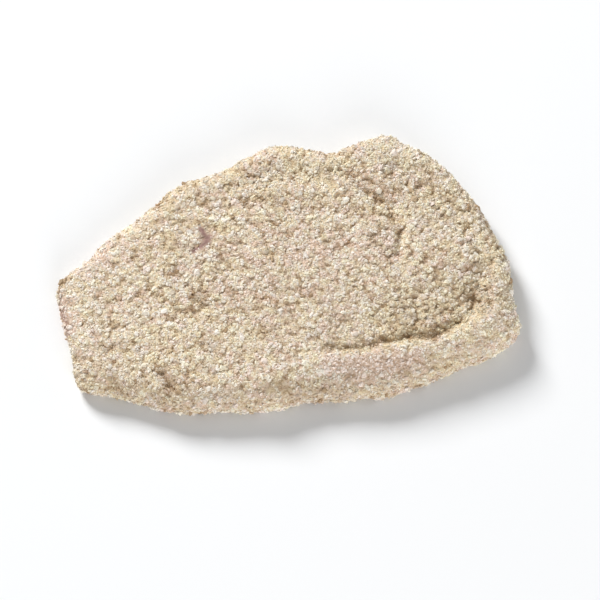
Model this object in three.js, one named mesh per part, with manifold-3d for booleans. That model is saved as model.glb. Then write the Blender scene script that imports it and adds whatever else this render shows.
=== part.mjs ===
// A raw breaded cutlet, ready for the pan: one pounded slice of meat in a coat of breadcrumbs.
//
// It lies on its flat underside, with its length along X, its front edge towards -Y and +Z up.
// The slice is one closed body. Its upper side is a square grid of points rounded to the outline,
// rings of points carry the surface on over the waist and a little way in underneath, and a flat
// face closes it below. The upper side carries the large forms (the front crease with the rim
// outside it, the valley inside the right rim, the fold beside the shoulder, small pits), the
// coat's clumps and crumbs, and the largest crumbs, which are joined to it.

import * as THREE from 'three';
import { mergeVertices } from 'three/addons/utils/BufferGeometryUtils.js';
import Module from 'manifold-3d';

// ---- Driving dimensions, in millimetres ----

const LENGTH = 165;
const WIDTH = 112;
const CROWN_THICKNESS = 12.5;
const TAIL_THICKNESS = 9;
const WAIST_HEIGHT = 4; // height of the widest line round the edge
const SHOULDER = 9; // how far in from the outline the top starts to roll down
const FRONT_SHOULDER = 14; // the same at the sloping front right edge
const FOOT = 4.5; // how far in from the outline the edge reaches the underside
const FLAT_SHARE = 0.8; // share of the way from the middle to the foot that is truly flat

const CLUMP_SIZE = 7; // the coat's clumps are about this far apart
const CLUMP_HEIGHT = 0.45;
const CRUMB_HEIGHT = 0.6; // each point of the coat rises or falls by up to this much
const CRUMB_SHIFT = 0.3; // and moves sideways by up to this share of the grid's pitch

const GRID = { columns: 68, rows: 46 }; // cells of the upper side along X and Y
const GRID_END = 0.27 * Math.PI; // angle over the shoulder at which the rings take over
const EDGE_RINGS = 6;
const UNDER_RINGS = 2;
const CORNER_CELLS = 6; // cells near the grid's corners are split towards the corner

const NUGGET_COUNT = 36; // the largest crumbs
const NUGGET_SIZE = { min: 1.3, max: 2.2 }; // half length
const NUGGET_SINK = 0.45; // share of the half length that is below the surface
const NUGGET_SPREAD = 1.12; // share of the way out to the grid's border that they reach
const TAIL_NUB = { bearing: 1.026 * Math.PI, size: 2, inset: 0.8 }; // the crumb at the tip of the tail
const SEED = 7;

const COAT = { color: 0xcebea8, roughness: 0.9, metalness: 0 };

// Landmarks of the outline, counter-clockwise, as shares of half the length and half the width.
const OUTLINE = [
  [0.975, -0.07], // right rim
  [0.957, 0.114],
  [0.905, 0.274],
  [0.856, 0.438],
  [0.716, 0.716],
  [0.635, 0.839], // shoulder
  [0.533, 0.921],
  [0.435, 1.0], // peak of the shoulder
  [0.293, 0.924],
  [0.184, 0.878], // notch beside the shoulder
  [0.008, 0.922],
  [-0.08, 0.909], // hump
  [-0.16, 0.85],
  [-0.305, 0.722],
  [-0.471, 0.62],
  [-0.606, 0.432],
  [-0.783, 0.228],
  [-0.857, 0.082],
  [-0.98, -0.081], // tip of the tail
  [-0.978, -0.262],
  [-0.916, -0.636],
  [-0.891, -0.823], // front left corner
  [-0.739, -0.896],
  [-0.482, -1.0],
  [-0.257, -1.0],
  [-0.075, -1.0], // middle of the front edge
  [0.088, -0.941],
  [0.343, -0.901],
  [0.444, -0.889],
  [0.539, -0.833],
  [0.755, -0.692],
  [0.893, -0.597],
  [0.999, -0.452], // front right corner
  [0.995, -0.285],
];

// Relief of the upper side. Each form follows a line of plan points, rises or falls by height
// on that line and fades with the distance from it over width.
const FORMS = [
  {
    name: 'front crease',
    height: -2.2,
    width: 1.9,
    line: [[36.6, -31.4], [40, -31.2], [45, -28.8], [51.6, -30], [56.6, -27.1], [60.6, -24.7]],
  },
  { name: 'left end of the crease', height: -1.2, width: 2, line: [[16, -35.5], [27, -35.4], [34, -32.5]] },
  { name: 'right end of the crease', height: -1.2, width: 2.2, line: [[63, -22.5], [66, -20], [69, -15]] },
  { name: 'fall into the crease', height: -1.8, width: 9, line: [[32, -25], [50, -20], [64, -13]] },
  { name: 'lump above the crease', height: 0.8, width: 3, line: [[50, -16], [53, -15]] },
  { name: 'hollow beside the lump', height: -0.9, width: 1.6, line: [[47, -13.5], [46.5, -18], [48, -22]] },
  {
    name: 'front rim',
    height: 1.6,
    width: 3.6,
    line: [[12, -41], [38, -38], [54, -35.2], [68, -28.5], [76, -20]],
  },
  {
    name: 'right valley',
    height: -2.3,
    width: 4,
    line: [[67, -12], [73, 2], [68, 13], [59, 22], [50, 31], [39, 40]],
  },
  { name: 'right rim', height: 1, width: 5, line: [[78, -8], [78, 6], [71, 20], [60, 35], [45, 48]] },
  {
    name: 'fold beside the shoulder',
    height: -2.5,
    width: 2.2,
    line: [[17, 47], [24, 39], [26, 35], [29, 31], [34, 26.3], [38, 22.5], [41.2, 15], [39.8, 4]],
  },
  { name: 'front crevice', height: -2.4, width: 1.6, line: [[-44, -44], [-40, -50]] },
  { name: 'middle swell', height: 0.9, width: 20, line: [[-30, 5], [25, 8]] },
  { name: 'bare spot', height: -0.8, width: 2.2, line: [[-35, 5], [-32, 7], [-29, 9], [-27, 15]] },
  { name: 'pit by the tail', height: -1, width: 2.2, line: [[-31, -15], [-28, -17]] },
  { name: 'back hollow', height: -0.9, width: 5, line: [[-15, 35], [2, 38], [16, 36]] },
  { name: 'ridge before the hollow', height: 0.5, width: 3, line: [[-18, 29], [0, 30], [16, 30], [25, 25]] },
];

// ---- Small mathematics ----

// What a pseudo-random number is used for, so that two uses of one count differ.
const Use = { size: 100, across: 101, along: 102, height: 103, split: 104, roll: 105, tip: 106, turn: 107 };

/** Steady pseudo-random number from 0 to 1 for a whole number and one of its uses. */
function chance(count, use = 0) {
  let bits = Math.imul(count, 0x9e3779b1) ^ Math.imul(use + SEED, 0x85ebca6b);
  bits = Math.imul(bits ^ (bits >>> 15), 0x2c1b3c6d);
  bits = Math.imul(bits ^ (bits >>> 12), 0x297a2d39);
  return ((bits ^ (bits >>> 15)) >>> 0) / 2 ** 32;
}

/** The same from -1 to 1. */
function swing(count, use = 0) {
  return 2 * chance(count, use) - 1;
}

/** Smooth step from 0 at low to 1 at high. */
function ramp(low, high, value) {
  const t = THREE.MathUtils.clamp((value - low) / (high - low), 0, 1);
  return t * t * (3 - 2 * t);
}

/** Smooth noise in plan, from -1 to 1, whose bumps are about one unit apart. */
function noise(x, y) {
  const ix = Math.floor(x);
  const iy = Math.floor(y);
  const near = THREE.MathUtils.lerp(swing(ix, iy), swing(ix + 1, iy), ramp(0, 1, x - ix));
  const far = THREE.MathUtils.lerp(swing(ix, iy + 1), swing(ix + 1, iy + 1), ramp(0, 1, x - ix));
  return THREE.MathUtils.lerp(near, far, ramp(0, 1, y - iy));
}

/** Distance in plan from a point to a line of points. */
function distanceToLine(x, y, line) {
  let nearest = Infinity;
  for (let i = 1; i < line.length; i++) {
    const [ax, ay] = line[i - 1];
    const [bx, by] = line[i];
    const dx = bx - ax;
    const dy = by - ay;
    const along = THREE.MathUtils.clamp(((x - ax) * dx + (y - ay) * dy) / (dx * dx + dy * dy), 0, 1);
    nearest = Math.min(nearest, Math.hypot(x - ax - along * dx, y - ay - along * dy));
  }
  return nearest;
}

// ---- Outline ----

// The smooth closed curve through the landmarks, as bearings and reaches from the middle, both
// measured with the slice squeezed to a circle of radius 1.
const outline = new THREE.CatmullRomCurve3(
  OUTLINE.map(([x, y]) => new THREE.Vector3(x, y, 0)),
  true,
  'catmullrom',
);
const OUTLINE_STEPS = 720;
const bearings = [];
const reaches = [];
for (const p of outline.getPoints(OUTLINE_STEPS)) {
  const bearing = Math.atan2(p.y, p.x);
  const last = bearings.at(-1) ?? bearing;
  bearings.push(bearing < last - Math.PI ? bearing + 2 * Math.PI : bearing);
  reaches.push(Math.hypot(p.x, p.y));
}

/** Plan point of the outline at a bearing of the squeezed slice. */
function rimPoint(bearing) {
  const turn = 2 * Math.PI;
  const target = bearings[0] + (((bearing - bearings[0]) % turn) + turn) % turn;
  let i = 1;
  while (i < OUTLINE_STEPS && bearings[i] < target) i++;
  const between = (target - bearings[i - 1]) / (bearings[i] - bearings[i - 1]);
  const reach = THREE.MathUtils.lerp(reaches[i - 1], reaches[i], between);
  return new THREE.Vector3(reach * Math.cos(bearing) * LENGTH / 2, reach * Math.sin(bearing) * WIDTH / 2, 0);
}

// ---- Form of the slice ----

/** Height of the upper side over a plan point, before the edge rolls it down. */
function crownHeight(x, y) {
  const fromTail = ramp(-LENGTH / 2, -0.05 * LENGTH, x);
  let height = THREE.MathUtils.lerp(TAIL_THICKNESS, CROWN_THICKNESS, fromTail);
  for (const form of FORMS) {
    const away = distanceToLine(x, y, form.line) / form.width;
    height += form.height * Math.exp(-away * away);
  }
  return height;
}

/** How far in from the outline the top starts to roll down, wider along the sloping front. */
function shoulderAt(outer) {
  const front = ramp(0, -0.6 * WIDTH / 2, outer.y);
  const right = ramp(-0.1 * LENGTH, 0.1 * LENGTH, outer.x) * ramp(0.5 * LENGTH, 0.38 * LENGTH, outer.x);
  return THREE.MathUtils.lerp(SHOULDER, FRONT_SHOULDER, front * right);
}

/** Plan point at a distance in from an outline point, towards the middle of the slice. */
function inset(outer, distance) {
  return outer.clone().multiplyScalar(1 - distance / outer.length());
}

/** Point of the upper side at a distance in from an outline point. */
function upperPoint(outer, distance) {
  const place = inset(outer, distance);
  const outward = Math.max(1 - distance / shoulderAt(outer), 0);
  const upward = Math.sqrt(1 - outward * outward);
  return place.setZ(THREE.MathUtils.lerp(WAIST_HEIGHT, crownHeight(place.x, place.y), upward));
}

/** Point of the upper side for a place on the unit disc. */
function gridPoint(p, q) {
  const outer = rimPoint(Math.atan2(q, p));
  const reach = outer.length() - shoulderAt(outer) * (1 - Math.sin(GRID_END));
  return upperPoint(outer, outer.length() - reach * Math.hypot(p, q));
}

/** Point of the edge: a quarter turn of angle is at the waist, a half turn at the foot. */
function edgePoint(bearing, angle) {
  const outer = rimPoint(bearing);
  if (angle < Math.PI / 2) return upperPoint(outer, shoulderAt(outer) * (1 - Math.sin(angle)));
  return inset(outer, FOOT * (1 - Math.sin(angle))).setZ(WAIST_HEIGHT * (1 + Math.cos(angle)));
}

// ---- Surface ----

/** Collects the points and faces of the slice, from the grid down to the underside. */
class SliceSurface {
  constructor() {
    this.points = [];
    this.faces = [];
    this.bearings = [];
  }

  /** Upper side: a grid of cells, each split along one of its diagonals. Returns its border. */
  addGrid({ columns, rows }) {
    const at = (i, j) => j * (columns + 1) + i;
    for (let j = 0; j <= rows; j++) {
      for (let i = 0; i <= columns; i++) {
        const shift = i > 0 && i < columns && j > 0 && j < rows ? CRUMB_SHIFT : 0;
        const u = 2 * (i + shift * swing(at(i, j), Use.across)) / columns - 1;
        const v = 2 * (j + shift * swing(at(i, j), Use.along)) / rows - 1;
        this.points.push(gridPoint(u * Math.sqrt(1 - v * v / 2), v * Math.sqrt(1 - u * u / 2)));
      }
    }
    for (let j = 0; j < rows; j++) {
      for (let i = 0; i < columns; i++) {
        const [a, b, c, d] = [at(i, j), at(i + 1, j), at(i + 1, j + 1), at(i, j + 1)];
        const fromCorner = Math.min(i, columns - 1 - i) + Math.min(j, rows - 1 - j);
        const towardsCorner = (i < columns / 2) === (j < rows / 2);
        const rising = fromCorner < CORNER_CELLS ? towardsCorner : chance(a, Use.split) < 0.5;
        this.faces.push(...(rising ? [a, b, c, a, c, d] : [a, b, d, b, c, d]));
      }
    }
    const ring = [];
    for (let i = 0; i < columns; i++) ring.push(at(i, 0));
    for (let j = 0; j < rows; j++) ring.push(at(columns, j));
    for (let i = columns; i > 0; i--) ring.push(at(i, rows));
    for (let j = rows; j > 0; j--) ring.push(at(0, j));
    this.bearings = ring.map((index) => {
      const u = 2 * (index % (columns + 1)) / columns - 1;
      const v = 2 * Math.floor(index / (columns + 1)) / rows - 1;
      return Math.atan2(v * Math.sqrt(1 - u * u / 2), u * Math.sqrt(1 - v * v / 2));
    });
    return ring;
  }

  /** New ring of points below the last one, and the faces between them. */
  addRing(ring, pointAt) {
    const start = this.points.length;
    this.bearings.forEach((bearing) => this.points.push(pointAt(bearing)));
    const next = ring.map((_, k) => start + k);
    ring.forEach((above, k) => {
      const after = (k + 1) % ring.length;
      const rising = chance(above, Use.split) < 0.5;
      this.faces.push(...(rising
        ? [above, next[k], next[after], above, next[after], ring[after]]
        : [above, next[k], ring[after], next[k], next[after], ring[after]]));
    });
    return next;
  }

  /** Flat face that closes the last ring below. */
  addFloor(ring) {
    const contour = ring.map((index) => new THREE.Vector2(this.points[index].x, this.points[index].y));
    for (const [a, b, c] of THREE.ShapeUtils.triangulateShape(contour, [])) {
      this.faces.push(ring[a], ring[c], ring[b]);
    }
  }

  /** Raises the coat's clumps and crumbs along the surface's normals, down to the flat face. */
  roughen(flatStart) {
    const normals = this.toGeometry().attributes.normal;
    for (let i = 0; i < flatStart; i++) {
      const point = this.points[i];
      const clump = CLUMP_HEIGHT * noise(point.x / CLUMP_SIZE, (point.y + point.z) / CLUMP_SIZE);
      const crumb = CRUMB_HEIGHT * swing(i, Use.height);
      point.addScaledVector(new THREE.Vector3().fromBufferAttribute(normals, i), clump + crumb);
      point.z = Math.max(point.z, 0);
    }
  }

  toGeometry() {
    const geometry = new THREE.BufferGeometry().setFromPoints(this.points);
    geometry.setIndex(this.faces);
    geometry.computeVertexNormals();
    return geometry;
  }
}

/** Whole slice without its largest crumbs. */
function makeSlice() {
  const surface = new SliceSurface();
  let ring = surface.addGrid(GRID);
  for (let r = 1; r <= EDGE_RINGS; r++) {
    const angle = THREE.MathUtils.lerp(GRID_END, Math.PI, r / EDGE_RINGS);
    ring = surface.addRing(ring, (bearing) => edgePoint(bearing, angle));
  }
  for (let r = 1; r <= UNDER_RINGS; r++) {
    const spread = THREE.MathUtils.lerp(1, FLAT_SHARE, r / UNDER_RINGS);
    ring = surface.addRing(ring, (bearing) => edgePoint(bearing, Math.PI).multiplyScalar(spread));
  }
  surface.addFloor(ring);
  surface.roughen(ring[0]);
  return surface.toGeometry();
}

// ---- Joining the largest crumbs ----

const wasm = await Module();
wasm.setup();

/** Solid of a closed mesh whose vertices are merged. */
function toSolid(geometry) {
  return new wasm.Manifold(new wasm.Mesh({
    numProp: 3,
    vertProperties: new Float32Array(geometry.attributes.position.array),
    triVerts: new Uint32Array(geometry.index.array),
  }));
}

/** Geometry with the vertices and triangles of a solid. */
function toGeometry(solid) {
  const { vertProperties, triVerts } = solid.getMesh();
  const geometry = new THREE.BufferGeometry();
  geometry.setAttribute('position', new THREE.BufferAttribute(vertProperties, 3));
  geometry.setIndex(new THREE.BufferAttribute(triVerts, 1));
  geometry.computeVertexNormals();
  return geometry;
}

/** One of the largest crumbs, an uneven twenty-sided nugget turned its own way. */
function makeNugget(index, place, half) {
  const ball = new THREE.IcosahedronGeometry(1, 0);
  ball.deleteAttribute('normal');
  ball.deleteAttribute('uv');
  const nugget = mergeVertices(ball, 1e-5);
  const breadth = THREE.MathUtils.lerp(0.65, 0.95, chance(index, Use.across));
  const depth = THREE.MathUtils.lerp(0.6, 0.9, chance(index, Use.height));
  nugget.scale(half, half * breadth, half * depth);
  nugget.rotateX(Math.PI * chance(index, Use.roll));
  nugget.rotateY(Math.PI * chance(index, Use.tip));
  nugget.rotateZ(Math.PI * chance(index, Use.turn));
  nugget.translate(place.x, place.y, Math.max(place.z - half * NUGGET_SINK, half));
  return nugget;
}

/** Slice with its largest crumbs: one at the tip of the tail, the others by the golden angle. */
function addNuggets(slice) {
  const goldenAngle = Math.PI * (3 - Math.sqrt(5));
  const tip = upperPoint(rimPoint(TAIL_NUB.bearing), TAIL_NUB.inset);
  let solid = toSolid(slice).add(toSolid(makeNugget(NUGGET_COUNT, tip, TAIL_NUB.size)));
  for (let i = 0; i < NUGGET_COUNT; i++) {
    const bearing = i * goldenAngle;
    const spread = NUGGET_SPREAD * Math.sqrt((i + chance(i, Use.along)) / NUGGET_COUNT);
    const place = spread < 1
      ? gridPoint(spread * Math.cos(bearing), spread * Math.sin(bearing))
      : edgePoint(bearing, GRID_END + (spread - 1) * Math.PI);
    const half = THREE.MathUtils.lerp(NUGGET_SIZE.min, NUGGET_SIZE.max, chance(i, Use.size) ** 2);
    solid = solid.add(toSolid(makeNugget(i, place, half)));
  }
  return solid;
}

// ---- The part ----

const geometry = toGeometry(addNuggets(makeSlice()));

// The origin is at the middle of the underside.
geometry.computeBoundingBox();
const middle = geometry.boundingBox.getCenter(new THREE.Vector3());
geometry.translate(-middle.x, -middle.y, -geometry.boundingBox.min.z);

const schnitzel = new THREE.Mesh(geometry, new THREE.MeshStandardMaterial(COAT));
schnitzel.name = 'schnitzel';

const part = new THREE.Group();
part.add(schnitzel);

export default part;
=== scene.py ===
"""Visual model of an uncooked breaded cutlet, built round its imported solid.

The slice is one surface worked out from the same landmarks and forms as the solid. Its coat is thousands of
separate crumbs, laid on that surface kind by kind. Lengths are in millimetres until a mesh is made.
"""

import logging
import math
from dataclasses import dataclass
from enum import Enum
from typing import Mapping, Sequence, Union

import bpy
import numpy as np
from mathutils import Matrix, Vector


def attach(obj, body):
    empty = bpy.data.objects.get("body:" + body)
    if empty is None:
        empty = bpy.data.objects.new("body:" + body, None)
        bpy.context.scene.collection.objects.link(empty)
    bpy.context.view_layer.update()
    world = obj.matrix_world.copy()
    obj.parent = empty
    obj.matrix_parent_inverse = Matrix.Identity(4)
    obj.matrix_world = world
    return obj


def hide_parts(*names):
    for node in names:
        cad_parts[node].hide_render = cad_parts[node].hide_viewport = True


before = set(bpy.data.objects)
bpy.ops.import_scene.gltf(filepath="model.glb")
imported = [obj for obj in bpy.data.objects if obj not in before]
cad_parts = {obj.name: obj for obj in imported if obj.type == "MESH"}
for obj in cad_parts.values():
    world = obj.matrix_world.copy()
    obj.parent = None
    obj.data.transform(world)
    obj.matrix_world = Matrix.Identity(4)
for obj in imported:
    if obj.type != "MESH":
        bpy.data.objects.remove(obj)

LOG = logging.getLogger("cutlet")
MM = 0.001
NODE = "schnitzel"
BODY = "root"
TURN = 2 * math.pi
TINY = 1e-9
"""Lengths and distances under this one count as none."""
MIDDLE = (0.97, -0.23)
"""Middle of the whole slice, its largest crumbs counted, seen from the middle of its outline."""

Colour = tuple[float, float, float]
Pair = tuple[float, float]
Line = tuple[Pair, ...]


class Slot(Enum):
    """The record's material slots."""

    COAT = "breadcrumb_coat"
    MEAT = "raw_meat"


class Zone(Enum):
    """The stretches of the slice that crumbs are laid on."""

    UPPER = "upper side"
    EDGE = "edge"
    UNDER = "underside"


class Use(Enum):
    """What a steady number is drawn for, so that two uses of one count differ."""

    SIZE = 100
    ACROSS = 101
    ALONG = 102
    HEIGHT = 103
    ROLL = 105
    TIP = 106
    SPIN = 107


# ---- Numbers ----


SOLID_SEED = 7
"""Seed of the steady numbers, the one that the solid is made with."""
COUNT_MIXER, USE_MIXER = np.uint32(0x9E3779B1), np.uint32(0x85EBCA6B)
ROUNDS = ((np.uint32(15), np.uint32(0x2C1B3C6D)), (np.uint32(12), np.uint32(0x297A2D39)))
LAST_SHIFT = np.uint32(15)
"""Odd numbers, and shifts by some bits, that scatter the bits of a count and a use."""
BUMP_EDGE = 0.1
"""Least distance from the side of a lattice cell to the point of its bump, in cells."""
BUMP_REACH = 0.8
"""How far a bump reaches from its point, in cells."""
ALONG_USE, NUMBER_USE = 5000, 9000
"""Added to a use for the shift of a bump's point along, and for its number."""


def chance(count: np.ndarray, use: np.ndarray) -> np.ndarray:
    """Steady numbers from 0 to 1: count and use are multiplied, mixed and shifted as 32-bit numbers.

    Args:
        count: Whole numbers, such as places in a row.
        use: Whole numbers that tell one use of a count from another.

    Returns:
        One number from 0 to 1 for each pair.
    """
    count = np.asarray(count).astype(np.int64).astype(np.uint32)
    use = (np.asarray(use).astype(np.int64) + SOLID_SEED).astype(np.uint32)
    with np.errstate(over="ignore"):
        bits = count * COUNT_MIXER ^ use * USE_MIXER
        for shift, mixer in ROUNDS:
            bits = (bits ^ (bits >> shift)) * mixer
    return (bits ^ (bits >> LAST_SHIFT)) / 2.0**32


def ramp(low: float, high: float, value: np.ndarray) -> np.ndarray:
    """Smooth step of a value: 0 at low, 1 at high, and t * t * (3 - 2 * t) between."""
    t = np.clip((value - low) / (high - low), 0.0, 1.0)
    return t * t * (3.0 - 2.0 * t)


def lerp(low: np.ndarray, high: np.ndarray, share: np.ndarray) -> np.ndarray:
    """Straight blend from low to high."""
    return low + (high - low) * share


def noise(x: np.ndarray, y: np.ndarray, use: int = 0) -> np.ndarray:
    """Smooth noise from -1 to 1: steady numbers at whole places, blended by smooth steps between them.

    Args:
        x: Places across, in bumps.
        y: Places along, in bumps.
        use: Tells one noise from another.

    Returns:
        The noise at each place.
    """
    ix, iy = np.floor(x), np.floor(y)
    fx, fy = ramp(0.0, 1.0, x - ix), ramp(0.0, 1.0, y - iy)
    iy = iy + use
    near = lerp(chance(ix, iy), chance(ix + 1, iy), fx)
    far = lerp(chance(ix, iy + 1), chance(ix + 1, iy + 1), fx)
    return 2.0 * lerp(near, far, fy) - 1.0


def bumps(x: np.ndarray, y: np.ndarray, use: int = 0) -> tuple[np.ndarray, np.ndarray]:
    """Rounded bumps, one round each point of a lattice whose points are shifted by steady numbers.

    A bump's height is 1 minus the squared distance to its point over the square of its reach.

    Args:
        x: Places across, in bumps.
        y: Places along, in bumps.
        use: Tells one field of bumps from another.

    Returns:
        The height at each place, from 0 in the gaps to 1 on the tops, and a number from 0 to 1 for each bump.
    """
    nearest, number = np.full(np.shape(x), np.inf), np.zeros(np.shape(x))
    play = 1.0 - 2.0 * BUMP_EDGE
    for across in (-1, 0, 1):
        for along in (-1, 0, 1):
            ix, iy = np.floor(x) + across, np.floor(y) + along
            away_x = x - ix - BUMP_EDGE - play * chance(ix, iy + use)
            away_y = y - iy - BUMP_EDGE - play * chance(ix, iy + use + ALONG_USE)
            distance = away_x**2 + away_y**2
            number = np.where(distance < nearest, chance(ix, iy + use + NUMBER_USE), number)
            nearest = np.minimum(nearest, distance)
    return np.clip(1.0 - nearest / BUMP_REACH**2, 0.0, 1.0), number


def pattern_places(points: np.ndarray, size: float, turn: Pair = (1.0, 0.0)) -> tuple[np.ndarray, np.ndarray]:
    """Where surface points lie in a flat pattern: across is x, along is y plus z, so it also runs down the edge.

    Args:
        points: Surface points.
        size: Size of one bump of the pattern.
        turn: Cosine and sine of the pattern's turn.

    Returns:
        Places across and places along, in bumps.
    """
    x, y, z = (points[..., k] / size for k in range(3))
    cosine, sine = turn
    return cosine * x - sine * (y + z), sine * x + cosine * (y + z)


def unit(vectors: np.ndarray) -> np.ndarray:
    """Vectors divided by their lengths."""
    return vectors / np.maximum(np.linalg.norm(vectors, axis=-1, keepdims=True), TINY)


def line_distance(x: np.ndarray, y: np.ndarray, line: Line) -> np.ndarray:
    """Distance in plan to a line of points: the least of the distances to its straight stretches.

    Args:
        x: Places across.
        y: Places along.
        line: The line's plan points.

    Returns:
        The distance from each place.
    """
    nearest = np.full(np.shape(x), np.inf)
    for (ax, ay), (bx, by) in zip(line[:-1], line[1:]):
        dx, dy = bx - ax, by - ay
        along = np.clip(((x - ax) * dx + (y - ay) * dy) / (dx * dx + dy * dy), 0.0, 1.0)
        nearest = np.minimum(nearest, np.hypot(x - ax - along * dx, y - ay - along * dy))
    return nearest


# ---- Form of the slice ----


@dataclass(frozen=True)
class Outline:
    """Smooth closed curve through landmarks, read as the reach at a bearing from the middle."""

    length: float = 165.0
    width: float = 112.0
    steps: int = 720
    landmarks: Line = (
        (0.975, -0.07), (0.957, 0.114), (0.905, 0.274), (0.856, 0.438),  # right rim
        (0.716, 0.716), (0.635, 0.839), (0.533, 0.921), (0.435, 1.0),  # shoulder
        (0.293, 0.924), (0.184, 0.878), (0.008, 0.922),  # notch
        (-0.08, 0.909), (-0.16, 0.85), (-0.305, 0.722),  # hump
        (-0.471, 0.62), (-0.606, 0.432), (-0.783, 0.228), (-0.857, 0.082),  # back left slope
        (-0.98, -0.081), (-0.978, -0.262), (-0.916, -0.636), (-0.891, -0.823),  # tail
        (-0.739, -0.896), (-0.482, -1.0), (-0.257, -1.0), (-0.075, -1.0),  # front left
        (0.088, -0.941), (0.343, -0.901), (0.444, -0.889), (0.539, -0.833),  # front right
        (0.755, -0.692), (0.893, -0.597), (0.999, -0.452), (0.995, -0.285),  # right corner
    )

    def curve(self) -> np.ndarray:
        """Curve points: on each stretch the cubic that passes through the landmarks with their mean slopes.

        Returns:
            Points of the curve, squeezed to a circle of radius 1, one row each.
        """
        marks = np.array(self.landmarks)
        t = np.arange(self.steps) * len(marks) / self.steps
        i, f = np.floor(t).astype(int), (t % 1.0)[:, None]
        before, start, end, after = (marks[(i + k) % len(marks)] for k in (-1, 0, 1, 2))
        return 0.5 * (
            2.0 * start
            + (end - before) * f
            + (2.0 * before - 5.0 * start + 4.0 * end - after) * f**2
            + (3.0 * start - before - 3.0 * end + after) * f**3
        )

    def points(self, bearing: np.ndarray) -> np.ndarray:
        """Plan points of the outline at bearings of the squeezed slice: reach times cosine and sine.

        Args:
            bearing: Bearings in radians.

        Returns:
            Plan points, with a last axis of two.
        """
        curve = self.curve()
        bearings = np.arctan2(curve[:, 1], curve[:, 0])
        reach = np.interp(bearing, bearings, np.hypot(curve[:, 0], curve[:, 1]), period=TURN)
        across = reach * np.cos(bearing) * self.length / 2
        return np.stack([across, reach * np.sin(bearing) * self.width / 2], axis=-1)

    def even_bearings(self, count: int) -> np.ndarray:
        """Bearings whose outline points are an even distance apart, by length summed along the outline.

        Args:
            count: How many bearings.

        Returns:
            The bearings in radians.
        """
        bearing = np.linspace(0.0, TURN, self.steps + 1)
        steps = np.linalg.norm(np.diff(self.points(bearing), axis=0), axis=1)
        summed = np.concatenate([[0.0], np.cumsum(steps)])
        return np.interp(np.arange(count) / count * summed[-1], summed, bearing)


RIGHT_VALLEY: Line = ((67, -12), (73, 2), (68, 13), (59, 22), (50, 31), (39, 40))
BACK_BAND: Line = ((-24, 33), (8, 40), (18, 38))
TAIL_TIP: Line = ((-82, -4), (-79.5, -4.8))
"""Lines in plan that more than one patch follows."""


@dataclass(frozen=True)
class Patch:
    """A rise or a colour of the slice, as strong as strength along a line and fading over width."""

    name: str
    strength: float
    width: float
    line: Line

    def __post_init__(self) -> None:
        """Refuses a line of fewer than two points."""
        if len(self.line) < 2:
            raise ValueError(f"the line of {self.name} needs two points")

    def at(self, x: np.ndarray, y: np.ndarray) -> np.ndarray:
        """Strength at plan points: strength times e to the minus square of distance over width."""
        return self.strength * np.exp(-((line_distance(x, y, self.line) / self.width) ** 2))


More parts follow.
